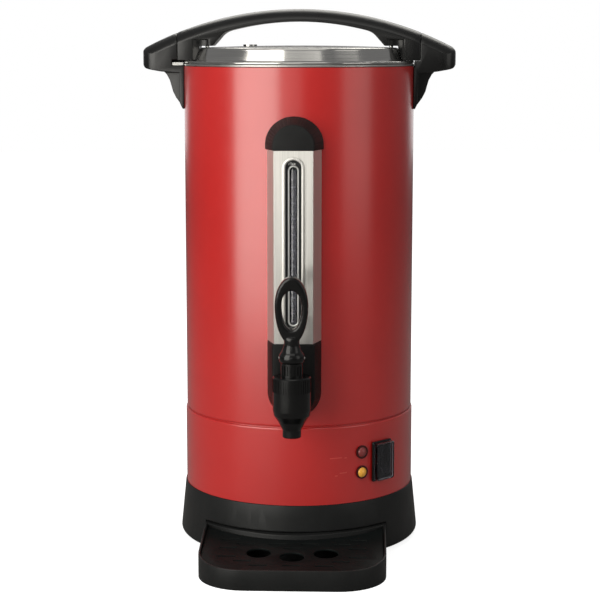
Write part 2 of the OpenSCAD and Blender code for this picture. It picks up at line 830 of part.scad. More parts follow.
module tap_housing() {
    color("#1c1c1c") difference() {
        union() {
            intersection() {
                translate([0, 0, house_z]) fairing_cone(house_back, house_front, house_y);
                translate([-60, -body_r - 60, house_z - 60]) cube([120, body_r + 60, 60]);
            }
            housing_prism(0, gauge_z0 - seat_gap - house_z);
        }
        intersection() {
            translate([0, 0, house_z])
                fairing_cone(house_back - house_wall, house_front - house_wall, house_y + house_wall);
            translate([-60, -body_r - 60, house_z - 60]) cube([120, body_r + 60, 60]);
        }
        housing_prism(house_wall, 60);
        cylinder(r = body_r + seat_gap, h = rim_z);
        facing_front(house_y + 10, tap_z) cylinder(r = shank_r + seat_gap, h = 20);
    }
}

module housing_prism(inset, h) {
    slope = (house_back - house_front) / (-house_y - body_r);
    wide = house_back + slope * 8 - inset;
    front_y = house_y + inset;
    narrow = house_front - inset;
    translate([0, 0, house_z]) linear_extrude(h) polygon([
        [-wide, -body_r + 8], [-narrow, front_y], [narrow, front_y], [wide, -body_r + 8]
    ]);
}

gasket_t = 2.4;
gasket_r = shank_r + 5;
nut_t = 6;
// the gasket's rim touches the curved wall of the tank
nut_face = sqrt(pow(tank_in_r, 2) - pow(gasket_r, 2)) - face_gap;
shank_in_y = -(nut_face - gasket_t - nut_t - 2);
shank_out_y = barrel_y + chamber_r + 6;

module tap_shank() {
    length = shank_in_y - shank_out_y;
    color("silver") difference() {
        facing_front(shank_in_y, tap_z) ring(shank_bore, shank_r, length);
        translate([0, tube_y, tap_z]) cylinder(r = 2.5, h = 20);
    }
}

module shank_nut() {
    color("silver") facing_front(-(nut_face - gasket_t - nut_t - 2 * face_gap), tap_z) difference() {
        cylinder(r = shank_r + 6, h = nut_t, $fn = 6);
        translate([0, 0, -cut]) cylinder(r = shank_r + face_gap, h = nut_t + 2 * cut);
    }
}

module tank_gasket() {
    color("whitesmoke") facing_front(-(nut_face - gasket_t - face_gap), tap_z)
        ring(shank_r + face_gap, gasket_r, gasket_t);
}

module tap_body() {
    neck_r = shank_r + 4;
    taper_z = spout_z + 7;
    color("#1c1c1c") difference() {
        union() {
            translate([0, barrel_y, 0]) rotate_extrude() polygon([
                [0, spout_z], [spout_r - 0.6, spout_z], [spout_r, spout_z + 0.6], [spout_r, taper_z],
                [barrel_r - 5, barrel_low - 6], [barrel_r - 1, barrel_low], [barrel_r, barrel_low + 5],
                [barrel_r, barrel_top - 1], [barrel_r - 1, barrel_top], [0, barrel_top]
            ]);
            facing_front(house_y - seat_gap, tap_z) cylinder(r = neck_r, h = house_y - seat_gap - barrel_y);
        }
        translate([0, barrel_y, spout_z - cut]) cylinder(r = spout_bore, h = seat_z - spout_z + 2 * cut);
        translate([0, barrel_y, seat_z]) cylinder(r = chamber_r, h = barrel_top - seat_z + cut);
        facing_front(house_y + 5, tap_z)
            cylinder(r = shank_r + face_gap, h = house_y + 5 - shank_out_y + face_gap);
        facing_front(house_y, tap_z) cylinder(r = shank_bore, h = house_y - barrel_y);
    }
}

module tap_bonnet() {
    ribs = 20;
    rib = 1.2;
    color("#1c1c1c") translate([0, barrel_y, 0]) difference() {
        union() {
            translate([0, 0, bonnet_z]) cylinder(r = bonnet_r, h = bonnet_h);
            translate([0, 0, barrel_top - 7]) cylinder(r = chamber_r - face_gap, h = 7 + cut);
        }
        translate([0, 0, barrel_top - 8])
            cylinder(r = chamber_r - 1.8, h = spring_high - barrel_top + 8 + face_gap);
        translate([0, 0, barrel_top]) cylinder(r = stem_r + fit, h = bonnet_h + 2 * cut);
        for (i = [0:ribs - 1]) rotate([0, 0, 360 * i / ribs])
            translate([bonnet_r - 0.7, -rib / 2, bonnet_z + 1.5]) cube([2, rib, bonnet_h - 3.5]);
    }
}

module tap_stem() {
    color("silver") translate([0, barrel_y, 0]) difference() {
        union() {
            translate([0, 0, seat_z + 3]) cylinder(r = stem_r, h = pin_z + 3.3 - seat_z - 3);
            translate([0, 0, seat_z + 3]) cylinder(r = stem_r + 1.4, h = 6);
            translate([0, 0, spring_low - 2.4]) cylinder(r = chamber_r - 2.4, h = 2.2);
        }
        translate([-10, 0, pin_z]) rotate([0, 90, 0]) cylinder(r = pin_r + fit, h = 20);
    }
}

module seat_cup() {
    color("whitesmoke") translate([0, barrel_y, seat_z + face_gap]) difference() {
        cylinder(r = chamber_r - 1.2, h = 9.4);
        translate([0, 0, 2.8]) cylinder(r = stem_r + 1.4 + face_gap, h = 6.3);
        translate([0, 0, 2.8]) cylinder(r = stem_r + face_gap, h = 10);
    }
}

// Tube of radius w along a helix, with closed ends
module helix(r, w, z0, z1, turns, steps = 14, sides = 6) {
    count = turns * steps;
    points = [
        for (i = [0:count], k = [0:sides - 1])
            let (a = 360 * i / steps, b = 360 * k / sides, rr = r + w * cos(b))
            [rr * cos(a), rr * sin(a), z0 + (z1 - z0) * i / count + w * sin(b)]
    ];
    walls = [
        for (i = [0:count - 1], k = [0:sides - 1]) let (n = (k + 1) % sides)
            [i * sides + k, (i + 1) * sides + k, (i + 1) * sides + n, i * sides + n]
    ];
    ends = [[for (k = [0:sides - 1]) k], [for (k = [sides - 1:-1:0]) count * sides + k]];
    polyhedron(points, concat(walls, ends));
}

module tap_spring() {
    wire = 0.6;
    color("silver") translate([0, barrel_y, 0])
        helix(stem_r + 1.8, wire, spring_low + wire + 0.1, spring_high - wire - 0.1, 5);
}

module lever_pin() {
    half = lever_base_r + 0.4;
    color("silver") translate([-half, barrel_y, pin_z]) rotate([0, 90, 0])
        cylinder(r = pin_r, h = 2 * half);
}

module tap_lever() {
    base_z = bonnet_top + 0.3 - pin_z;
    flare_z = 5;
    neck_z = 13;
    color("#1c1c1c") translate([0, barrel_y, pin_z]) difference() {
        union() {
            rotate_extrude() polygon([
                [0, base_z], [lever_base_r - 1, base_z], [lever_base_r, base_z + 1], [lever_base_r, 2.6],
                [lever_base_r - 1.2, flare_z], [0, flare_z]
            ]);
            rotate([lever_lean, 0, 0]) {
                translate([0, 0, flare_z - 1])
                    cylinder(r1 = lever_base_r - 2, r2 = neck_half, h = neck_z - flare_z + 1);
                translate([0, 0, neck_z]) cylinder(r = neck_half, h = 7);
                translate([0, lever_t / 2, 0]) rotate([90, 0, 0]) linear_extrude(lever_t) difference() {
                    polygon(egg([0, loop_z], loop_half, loop_up, loop_z - neck_z - 1));
                    polygon(egg([0, loop_z], hole_half, hole_up, hole_down));
                }
            }
        }
        // slot in which the stem swings
        translate([-stem_r - seat_gap, -7.5, base_z - cut])
            cube([2 * (stem_r + seat_gap), 15, cut - base_z + 5.4]);
        translate([-20, 0, 0]) rotate([0, 90, 0]) cylinder(r = pin_r + fit, h = 40);
    }
}

/* ---- drip tray ---- */

// Plan of the tray between its front and the urn's axis
module tray_plan(inset) {
    half = tray_half - inset;
    front = tray_y + inset;
    r = tray_round - inset;
    polygon(concat(
        [[half, -40]],
        back(arc([half - r, front + r], r, -90, 0, 10)),
        back(arc([r - half, front + r], r, 180, 270, 10)),
        [[-half, -40]]
    ));
}

module drip_tray() {
    slope_y = -(base_foot_r - 6);
    color("#1c1c1c") difference() {
        union() {
            difference() {
                // walls that rise from the front edge to the base moulding
                intersection() {
                    linear_extrude(tray_back_h) tray_plan(0);
                    translate([tray_half + cut, 0, 0]) rotate([90, 0, -90])
                        linear_extrude(2 * (tray_half + cut)) polygon([
                            [-tray_y + cut, 0], [-tray_y + cut, tray_front_h], [-tray_y - 12, tray_front_h],
                            [-slope_y, tray_back_h], [40, tray_back_h], [40, 0]
                        ]);
                }
                difference() {
                    translate([0, 0, tray_t]) linear_extrude(tray_back_h) tray_plan(tray_t);
                    cylinder(r = ridge_in_r + tray_t, h = tray_back_h);
                }
                difference() {
                    translate([0, 0, tray_t]) linear_extrude(tray_back_h - 2 * tray_t) tray_plan(tray_t);
                    cylinder(r = tongue_in_r + tray_t, h = tray_back_h);
                    translate([0, 0, tray_t]) ring(ridge_in_r - 2, ridge_in_r + tray_t, tray_back_h);
                }
            }
            // ledge that carries the grid
            difference() {
                on_grid() translate([0, 0, -grid_t - seat_gap - 2]) linear_extrude(2) tray_plan(tray_t / 2);
                translate([0, 0, -cut]) linear_extrude(tray_back_h + 20) tray_plan(tray_t + 2.5);
                cylinder(r = ridge_in_r + 1, h = tray_back_h + 20);
            }
        }
        translate([0, 0, -cut]) cylinder(r = tongue_in_r, h = tray_back_h + 2 * cut);
    }
}

// Places its children on the grid's sloping top, which is their z = 0
module on_grid() {
    front = tray_y + tray_t;
    translate([0, front, grid_z]) rotate([grid_rise, 0, 0]) translate([0, -front, 0]) children();
}

// Middles of the round holes, from the spout
grid_holes = [[0, 0], [-32, 9.5], [32, 9.5]];

// A slot is left out where it would run into a round hole or past the edge
function slot_clear(x, y) =
    min([for (h = grid_holes) norm([x - h[0], y - barrel_y - h[1]])]) > (grid_hole_d + grid_slot_l) / 2
    && norm([x, y]) > ridge_in_r + 9
    && norm([max(abs(x) + grid_slot_l / 2 - (tray_half - tray_round), 0), min(y - tray_y - tray_round, 0)])
        < tray_round - 9;

module tray_grid() {
    pitch = grid_slot_l + 14;
    rows = floor((tray_reach - 25) / grid_row);
    deep = grid_t + 2 * cut;
    color("#1c1c1c") difference() {
        on_grid() translate([0, 0, -grid_t]) linear_extrude(grid_t) tray_plan(tray_t + 0.5);
        cylinder(r = ridge_in_r + tray_t + 0.5, h = 60, $fn = 144);
        on_grid() translate([0, 0, -grid_t - cut]) {
            for (h = grid_holes)
                translate([h[0], barrel_y + h[1], 0]) cylinder(d = grid_hole_d, h = deep);
            for (row = [0:rows], i = [-3:3])
                let (x = (i + (row % 2) / 2) * pitch, y = tray_y + 18 + row * grid_row)
                if (slot_clear(x, y))
                    translate([x - grid_slot_l / 2, y - grid_slot_w / 2, 0])
                        cube([grid_slot_l, grid_slot_w, deep]);
        }
    }
}

/* ---- controls ---- */

rocker_w = switch_body_w - 4;
rocker_h = switch_body_h - 5;
rocker_pivot = -2.5;
rocker_pin_r = 1.2;
rocker_pin_l = 1.2;

module switch_frame() {
    color("#141414") on_panel(switch_angle, switch_z) difference() {
        union() {
            translate([0, 0, 0.1]) linear_extrude(2.2) round_rect(switch_w, switch_h, 1.5);
            translate([0, 0, -22]) linear_extrude(22.2) square([switch_body_w, switch_body_h], center = true);
            for (y = [-9, 0, 9]) translate([-2.4, y - 0.4, -30]) cube([4.8, 0.8, 9]);
        }
        translate([0, 0, -9.5]) linear_extrude(20) square([rocker_w + run_gap, rocker_h + 2.2], center = true);
        rocker_axle(rocker_pin_r + fit, rocker_w / 2 + rocker_pin_l + 0.3);
    }
}

// The line that the rocker turns on, as a cylinder of the given radius and half length
module rocker_axle(r, half) {
    translate([-half, 0, rocker_pivot]) rotate([0, 90, 0]) cylinder(r = r, h = 2 * half);
}

module rocker() {
    end = rocker_h / 2;
    color("#141414") on_panel(switch_angle, switch_z) {
        translate([0, 0, rocker_pivot]) rotate([-rocker_tilt, 0, 0])
            translate([rocker_w / 2, 0, 0]) rotate([90, 0, -90]) linear_extrude(rocker_w) polygon([
                [-end, -1], [-end, 3.6], [0, 2], [end, 3.6], [end, -1], [3, -3.6], [-3, -3.6]
            ]);
        rocker_axle(rocker_pin_r, rocker_w / 2 + rocker_pin_l);
    }
}

module switch_cover() {
    wall = 1.2;
    depth = 5.4;
    w = switch_w - 2.5;
    h = switch_h - 2.5;
    color("lightgray", 0.4) on_panel(switch_angle, switch_z) translate([0, 0, 2.3 + face_gap])
        difference() {
            linear_extrude(depth) round_rect(w, h, 2);
            translate([0, 0, -cut])
                linear_extrude(depth - wall + cut) round_rect(w - 2 * wall, h - 2 * wall, 1);
        }
}

module lamp_bezels() {
    color("#5a1414") for (z = [lamp_heat_z, lamp_ready_z]) on_panel(lamp_angle, z) difference() {
        union() {
            translate([0, 0, 0.1]) cylinder(r = lamp_r, h = 1.6);
            translate([0, 0, -18]) cylinder(r = lamp_body_r, h = 19);
            for (x = [-1.6, 1.6]) translate([x - 0.3, -1.2, -24]) cube([0.6, 2.4, 7]);
        }
        translate([0, 0, -5]) cylinder(r = 3.7, h = 10);
    }
}

module lamp_lens() {
    rotate_extrude() polygon(concat(
        [[0, -4.8], [3.6, -4.8], [3.6, 1.8], [lamp_r - 1.8, 1.8]],
        arc([0, -1.6], 5.9, 37, 90, 5)
    ));
}

module lamp_heat_lens() {
    color("darkred") on_panel(lamp_angle, lamp_heat_z) lamp_lens();
}

module lamp_ready_lens() {
    color("orange") on_panel(lamp_angle, lamp_ready_z) lamp_lens();
}

/* ---- mains inlet ---- */

module inlet() {
    color("#141414") on_panel(180, inlet_z) difference() {
        union() {
            translate([0, 0, 0.1]) linear_extrude(2.6) round_rect(inlet_pitch + 10, inlet_body_h + 4, 3);
            translate([0, 0, -19]) linear_extrude(20) square([inlet_body_w, inlet_body_h], center = true);
        }
        translate([0, 0, -16]) linear_extrude(30) polygon([
            [-12.2, -8.4], [12.2, -8.4], [12.2, 4], [8, 8.4], [-8, 8.4], [-12.2, 4]
        ]);
        for (x = [-1, 1])
            translate([x * inlet_pitch / 2, 0, -2]) cylinder(r = inlet_screw_r + face_gap, h = 10);
        for (p = inlet_pin_places) translate([p[0] - 1.1, p[1] - 2.1, -20]) cube([2.2, 4.2, 10]);
    }
}

inlet_pin_places = [[-7, -2], [7, -2], [0, 2]];

module inlet_pins() {
    color("gold") on_panel(180, inlet_z)
        for (p = inlet_pin_places) translate([p[0] - 1, p[1] - 2, -26]) cube([2, 4, 24]);
}

module inlet_screws() {
    color("silver") on_panel(180, inlet_z) for (x = [-1, 1])
        translate([x * inlet_pitch / 2, 0, 2.7 + face_gap])
            mirror([0, 0, 1]) screw(inlet_screw_r, 7, 3, 1.4);
}

/* ---- heating ---- */

module warm_element() {
    z = floor_z - element_r - seat_gap;
    color("dimgray") {
        translate([0, 0, z]) rotate_extrude() translate([element_ring_r, 0]) circle(r = element_r);
        for (x = [-9, 9]) translate([x, element_ring_r, z - 22]) cylinder(r = element_r - 1, h = 22);
    }
}

module pump_heater() {
    z = well_z - heater_h - seat_gap;
    color("dimgray") {
        translate([0, 0, z]) cylinder(r = well_r, h = heater_h);
        for (x = [-10, 10]) translate([x - 0.4, -3, z - 9]) cube([0.8, 6, 10]);
    }
}

module thermostats() {
    color("ivory") for (a = [200, 320]) rotate([0, 0, a]) translate([47, 0, floor_z - seat_gap - 10]) {
        cylinder(r = thermo_r, h = 10);
        for (y = [-3, 3]) translate([-3, y - 0.4, -7]) cube([6, 0.8, 8]);
    }
}

module reset_cutout() {
    color("ivory") translate([reset_x, reset_y, base_plate_top + face_gap]) difference() {
        translate([-9, -8, 0]) cube([18, 16, 15]);
        translate([0, 0, -cut]) cylinder(r = reset_r + fit, h = 10.5 + cut);
    }
}

module reset_button() {
    low = 2.6;
    color("red") translate([reset_x, reset_y, low]) cylinder(r = reset_r, h = base_plate_top + 8 - low);
}

module terminal_block() {
    color("ivory") translate([14, 30, base_plate_top + face_gap]) difference() {
        cube([44, 18, 14]);
        for (i = [0:3]) translate([6 + i * 10.6, 9, 5]) cylinder(r = 2.6, h = 12);
    }
}

/* ---- percolator ---- */

module valve_washer() {
    color("silver") translate([0, 0, well_z + tank_t + face_gap]) ring(2.5, pump_r + 5, 1.5);
}

module pump_foot() {
    z0 = well_z + tank_t + seat_gap;
    rim_r = well_r - tank_t - 0.8;
    neck_z = floor_z + 20;
    color("silver") rotate_extrude() polygon([
        [rim_r, z0], [rim_r, z0 + 6], [pump_r + brew_t + 1, neck_z], [pump_r + brew_t + 1, neck_z + 10],
        [pump_r + face_gap, neck_z + 10], [pump_r + face_gap, neck_z], [rim_r - brew_t, z0 + 5.6],
        [rim_r - brew_t, z0]
    ]);
}

module pump_tube() {
    z0 = floor_z + 22;
    color("silver") {
        translate([0, 0, z0]) ring(pump_r - brew_t, pump_r, pump_top - z0);
        translate([0, 0, basket_z - 5]) ring(pump_r - 0.1, pump_r + 3, 5 - seat_gap);
    }
}

sleeve_r = pump_r + 0.4;

module coffee_basket() {
    holes = 20;
    rows = 3;
    color("lightgray") difference() {
        rotate_extrude() polygon([
            [sleeve_r, basket_z], [basket_r - 3, basket_z], [basket_r, basket_z + 3],
            [basket_r, basket_top - 1], [basket_r + 2.2, basket_top - 1], [basket_r + 2.2, basket_top],
            [basket_r - brew_t, basket_top], [basket_r - brew_t, basket_z + 3.4],
            [basket_r - 3.3, basket_z + brew_t], [sleeve_r + brew_t, basket_z + brew_t],
            [sleeve_r + brew_t, basket_top + 3], [sleeve_r, basket_top + 3]
        ]);
        for (row = [0:rows - 1], i = [0:holes - 1])
            rotate([0, 0, 360 * (i + (row % 2) / 2) / holes])
                translate([basket_r - 4, 0, basket_z + 12 + row * 9])
                    rotate([0, 90, 0]) cylinder(r = 1.3, h = 8);
        for (k = [1:4], i = [0:6 * k - 1])
            rotate([0, 0, 60 * i / k]) translate([8 + k * 14, 0, basket_z - cut]) cylinder(r = 1.5, h = 5);
    }
}

module basket_cover() {
    z0 = basket_top + seat_gap;
    color("lightgray") difference() {
        rotate_extrude() polygon([
            [sleeve_r + brew_t + 0.4, z0 + 2], [sleeve_r + 9, z0], [basket_r + 1.6, z0],
            [basket_r + 2.2, z0 + 3], [basket_r + 1.4, z0 + 3], [basket_r + 0.8, z0 + brew_t],
            [sleeve_r + 9, z0 + brew_t], [sleeve_r + brew_t + 0.4, z0 + 2 + brew_t]
        ]);
        for (k = [1:4], i = [0:6 * k - 1])
            rotate([0, 0, 60 * i / k]) translate([10 + k * 13, 0, z0 - cut]) cylinder(r = 1.2, h = 5);
    }
}

outer_shell();
base_shell();
tank();
tank_floor();
base_ring();
bottom_plate();
foot_ring();
base_screws();
handle_left();
handle_right();
handle_screws();
lid_catches();
lid();
lid_seal();
lid_handle();
lid_screws();
gauge_channel();
gauge_cap();
gauge_backing();
sight_tube();
gauge_tee();
tube_gland();
tap_housing();
tap_shank();
shank_nut();
tank_gasket();
tap_body();
tap_bonnet();
tap_lever();
lever_pin();
tap_stem();
seat_cup();
tap_spring();
drip_tray();
tray_grid();
switch_frame();
rocker();
switch_cover();
lamp_bezels();
lamp_heat_lens();
lamp_ready_lens();
inlet();
inlet_pins();
inlet_screws();
warm_element();
pump_heater();
thermostats();
reset_cutout();
reset_button();
terminal_block();
pump_foot();
pump_tube();
valve_washer();
coffee_basket();
basket_cover();
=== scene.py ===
"""The visual model of a percolator coffee urn: camera, light, materials and the detailed pieces."""

import json
import math

import bmesh
import bpy
from mathutils import Matrix, Vector


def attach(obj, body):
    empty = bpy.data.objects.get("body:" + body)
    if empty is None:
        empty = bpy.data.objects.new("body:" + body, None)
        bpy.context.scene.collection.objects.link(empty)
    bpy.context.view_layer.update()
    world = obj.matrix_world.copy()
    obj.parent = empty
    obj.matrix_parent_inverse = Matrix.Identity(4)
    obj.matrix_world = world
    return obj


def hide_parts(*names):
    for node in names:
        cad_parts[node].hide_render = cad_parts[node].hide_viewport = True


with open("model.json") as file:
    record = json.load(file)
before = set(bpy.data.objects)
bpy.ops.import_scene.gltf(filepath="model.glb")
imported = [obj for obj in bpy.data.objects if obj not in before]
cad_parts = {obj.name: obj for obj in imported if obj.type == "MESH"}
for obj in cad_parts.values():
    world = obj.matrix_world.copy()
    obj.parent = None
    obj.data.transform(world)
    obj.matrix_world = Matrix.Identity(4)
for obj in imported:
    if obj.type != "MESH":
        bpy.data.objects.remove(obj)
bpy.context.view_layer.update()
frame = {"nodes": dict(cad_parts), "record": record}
nodes = frame["nodes"]
record = frame["record"]
owner = {n: body for body, members in record["behaviour"]["bodies"].items() for n in members}
slots = {part["node"]: part["material_slot"] for part in record["subparts"]}
MM = 0.001

# ---- places, in millimetres, as in the construction ----

LOWER_R = 116.0                 # radius of the lower shell, which carries the controls
GAUGE_Y = -134.5                # front face of the gauge's channel
SLOT_Z0, SLOT_Z1 = 229.0, 392.7
SLOT_HALF = 7.6
BACKING_Y = -116.2              # front face of the plate behind the sight tube
TUBE_Y = -126.9                 # axis of the sight tube
TUBE_TOP = 388.0
BARREL_Y = -169.0               # axis of the tap's barrel


# ---- camera ----

def add_camera():
    """The photograph's view; distance and height are in millimetres, azimuth and tilt in degrees."""
    distance, height, azimuth, tilt = 1712.7, 505.0, 2.3, 8.78
    data = bpy.data.cameras.new("camera")
    data.sensor_width = 36.0
    data.lens = 101.6
    data.shift_x = 0.0015
    data.clip_end = 20
    cam = bpy.data.objects.new("camera", data)
    bpy.context.scene.collection.objects.link(cam)
    a = math.radians(azimuth)
    cam.location = Vector((distance * math.sin(a), -distance * math.cos(a), height)) * MM
    cam.rotation_euler = (math.radians(90 - tilt), 0, a)
    bpy.context.scene.camera = cam


add_camera()


# ---- materials ----

NOISE_LOW, NOISE_HIGH = 0.3, 0.7    # the part of a noise's range that is used


class Shader:
    """A Principled material under construction, with a few short node builders.
    Sockets are given by name, with an underscore for each space."""

    def __init__(self, name, colour, rough, **sockets):
        self.mat = bpy.data.materials.new(name)
        self.mat.use_nodes = True
        self.tree = self.mat.node_tree
        self.bsdf = self.tree.nodes["Principled BSDF"]
        self.set("Base Color", (*colour, 1))
        self.set("Roughness", rough)
        for socket, value in sockets.items():
            self.set(socket.replace("_", " "), value)

    def set(self, socket, value):
        self.bsdf.inputs[socket].default_value = value

    def node(self, kind, **values):
        """A node with the named inputs or properties set."""
        n = self.tree.nodes.new(kind)
        for key, value in values.items():
            if key in n.inputs:
                n.inputs[key].default_value = value
            else:
                setattr(n, key, value)
        return n

    def link(self, a, b):
        self.tree.links.new(a, b)

    def place(self, scale=(1, 1, 1)):
        """Object coordinates, stretched by scale."""
        coord = self.node("ShaderNodeTexCoord")
        mapping = self.node("ShaderNodeMapping", Scale=scale)
        self.link(coord.outputs["Object"], mapping.inputs["Vector"])
        return mapping.outputs["Vector"]

    def polar(self, radial, around):
        """Radius, angle and height about the urn's axis, for marks left by turning."""
        coord = self.node("ShaderNodeTexCoord")
        split = self.node("ShaderNodeSeparateXYZ")
        self.link(coord.outputs["Object"], split.inputs[0])
        x, y, z = split.outputs
        flat = self.node("ShaderNodeCombineXYZ")
        self.link(x, flat.inputs[0])
        self.link(y, flat.inputs[1])
        length = self.node("ShaderNodeVectorMath", operation="LENGTH")
        self.link(flat.outputs[0], length.inputs[0])
        angle = self.node("ShaderNodeMath", operation="ARCTAN2")
        self.link(y, angle.inputs[0])
        self.link(x, angle.inputs[1])
        out = self.node("ShaderNodeCombineXYZ")
        sources = ((length.outputs["Value"], radial), (angle.outputs[0], around), (z, radial))
        for socket, (source, factor) in enumerate(sources):
            times = self.node("ShaderNodeMath", operation="MULTIPLY")
            times.inputs[1].default_value = factor
            self.link(source, times.inputs[0])
            self.link(times.outputs[0], out.inputs[socket])
        return out.outputs[0]

    def noise(self, vector, scale, detail, rough=0.55):
        n = self.node("ShaderNodeTexNoise", Scale=scale, Detail=detail, Roughness=rough)
        self.link(vector, n.inputs["Vector"])
        return n.outputs["Fac"]

    def vary_colour(self, noise, colour, low, high):
        """Lets the colour follow a noise, from low to high times itself."""
        ramp = self.node("ShaderNodeValToRGB")
        ends = ((NOISE_LOW, low), (NOISE_HIGH, high))
        for element, (position, factor) in zip(ramp.color_ramp.elements, ends):
            element.position = position
            element.color = (*(c * factor for c in colour), 1)
        self.link(noise, ramp.inputs["Fac"])
        self.link(ramp.outputs["Color"], self.bsdf.inputs["Base Color"])

    def vary_rough(self, noise, low, high):
        """Lets the roughness follow a noise, from low to high."""
        n = self.node("ShaderNodeMapRange")
        limits = {"From Min": NOISE_LOW, "From Max": NOISE_HIGH, "To Min": low, "To Max": high}
        for socket, value in limits.items():
            n.inputs[socket].default_value = value
        self.link(noise, n.inputs["Value"])
        self.link(n.outputs["Result"], self.bsdf.inputs["Roughness"])

    def bump(self, height, strength, distance):
        """Distance is in metres."""
        n = self.node("ShaderNodeBump", Strength=strength, Distance=distance)
        self.link(height, n.inputs["Height"])
        self.link(n.outputs["Normal"], self.bsdf.inputs["Normal"])

    def streak(self, amount, turn):
        """Drawn-out highlights: turn 0 draws them around the urn's axis, 0.25 up and down."""
        tangent = self.node("ShaderNodeTangent", direction_type="RADIAL", axis="Z")
        self.link(tangent.outputs["Tangent"], self.bsdf.inputs["Tangent"])
        self.set("Anisotropic", amount)
        self.set("Anisotropic Rotation", turn)


def painted(name, colour):
    s = Shader(name, colour, 0.30, IOR=1.5, Coat_Weight=1.0, Coat_Roughness=0.22, Coat_IOR=1.6)
    s.vary_colour(s.noise(s.place(), 14, 2), colour, 0.96, 1.04)
    s.vary_rough(s.noise(s.place(), 60, 4), 0.28, 0.33)
    s.bump(s.noise(s.place(), 900, 2), 0.12, 0.00004)
    return s.mat


def moulded(name, colour, rough, grain=0.25, ior=1.5):
    s = Shader(name, colour, rough, IOR=ior)
    s.vary_colour(s.noise(s.place(), 30, 3), colour, 0.85, 1.15)
    s.vary_rough(s.noise(s.place(), 45, 4), rough - 0.04, rough + 0.04)
    s.bump(s.noise(s.place(), 1500, 2), grain, 0.00006)
    return s.mat


def brushed(name, colour, rough, along):
    """Steel with fine lines; along is the stretch of the noise, small where the lines run."""
    s = Shader(name, colour, rough, Metallic=1.0)
    s.streak(0.8, 0.0)
    lines = s.noise(s.place(along), 1, 4, 0.6)
    s.vary_colour(lines, colour, 0.86, 1.06)
    s.vary_rough(lines, rough - 0.06, rough + 0.08)
    s.bump(lines, 0.18, 0.00003)
    return s.mat


def turned(name, colour, rough):
    s = Shader(name, colour, rough, Metallic=1.0)
    s.streak(0.7, 0.25)
    lines = s.noise(s.polar(2200, 1.2), 1, 3, 0.6)
    s.vary_colour(lines, colour, 0.86, 1.06)
    s.vary_rough(lines, rough - 0.05, rough + 0.07)
    s.bump(lines, 0.2, 0.00003)
    return s.mat


def plain_metal(name, colour, rough):
    s = Shader(name, colour, rough, Metallic=1.0)
    s.vary_colour(s.noise(s.place(), 160, 4), colour, 0.9, 1.05)
    s.vary_rough(s.noise(s.place(), 90, 4), rough - 0.05, rough + 0.08)
    return s.mat


def clear(name, colour, rough, ior=1.47):
    s = Shader(name, colour, rough, IOR=ior, Transmission_Weight=1.0)
    s.bump(s.noise(s.place(), 40, 2), 0.05, 0.0001)
    return s.mat


MATERIALS = {
    # one for each material slot of the record
    "painted_red": painted("red_enamel", (0.52, 0.012, 0.010)),
    "tank_steel": plain_metal("tank_steel", (0.62, 0.62, 0.60), 0.30),
    "lid_steel": turned("lid_steel", (0.62, 0.61, 0.59), 0.16),
    "channel_steel": brushed("channel_steel", (0.80, 0.78, 0.74), 0.34, (2600, 2600, 9)),
    "basket_aluminium": turned("basket_aluminium", (0.72, 0.72, 0.72), 0.38),
    "screw_steel": plain_metal("screw_steel", (0.62, 0.62, 0.60), 0.28),
    "base_black": moulded("base_black", (0.011, 0.0115, 0.0115), 0.40, ior=1.35),
    "handle_black": moulded("handle_black", (0.006, 0.006, 0.006), 0.30),
    "tap_black": moulded("tap_black", (0.003, 0.003, 0.003), 0.20, grain=0.04, ior=1.45),
    "backing_dark": moulded("backing_dark", (0.008, 0.008, 0.009), 0.5),
    "foot_rubber": moulded("foot_rubber", (0.012, 0.012, 0.012), 0.75),
    "silicone": moulded("silicone", (0.75, 0.75, 0.72), 0.55, grain=0.1),
    "sight_glass": clear("sight_glass", (0.95, 0.96, 0.97), 0.03),
    "switch_black": moulded("switch_black", (0.004, 0.004, 0.004), 0.24, grain=0.05),
    "clear_boot": clear("clear_boot", (0.25, 0.25, 0.27), 0.06, 1.32),
    "lamp_bezel": moulded("lamp_bezel", (0.05, 0.003, 0.003), 0.22, grain=0.05),
    "red_lens": moulded("red_lens", (0.26, 0.05, 0.05), 0.14, grain=0.02),
    "amber_lens": moulded("amber_lens", (0.85, 0.42, 0.06), 0.2, grain=0.02),
    "contact_brass": plain_metal("contact_brass", (0.70, 0.52, 0.25), 0.28),
    "element_dark": plain_metal("element_dark", (0.20, 0.19, 0.18), 0.5),
    "ceramic": moulded("ceramic", (0.72, 0.68, 0.58), 0.6),
    "reset_red": moulded("reset_red", (0.55, 0.02, 0.02), 0.3, grain=0.05),
    # finishes of single nodes and pieces
    "grid_black": moulded("grid_black", (0.006, 0.008, 0.008), 0.50, ior=1.2),
    "housing_black": moulded("housing_black", (0.009, 0.009, 0.009), 0.42, ior=1.2),
    # the gauge cap's black is lighter than the other blacks: a painted sheen that stands in for the
    # reflection of the top light on its front face
    "cap_black_painted_sheen": moulded("cap_black_painted_sheen", (0.018, 0.018, 0.018), 0.45, ior=1.2),
    "bright_steel": plain_metal("bright_steel", (0.95, 0.94, 0.92), 0.34),
    "scale_grey": moulded("scale_grey", (0.030, 0.026, 0.045), 0.4, grain=0.05),
    "scale_marks": moulded("scale_marks", (0.16, 0.15, 0.20), 0.4, grain=0.02),
    "print_white": moulded("print_white", (0.80, 0.80, 0.78), 0.5, grain=0.02),
    "print_red": moulded("print_red", (0.60, 0.06, 0.05), 0.4, grain=0.02),
}
FINISHES = dict(slots, gauge_cap="cap_black_painted_sheen", tap_housing="housing_black", tray_grid="grid_black")

for name, obj in nodes.items():
    obj.data.materials.clear()
    obj.data.materials.append(MATERIALS[FINISHES[name]])


# ---- mesh helpers ----

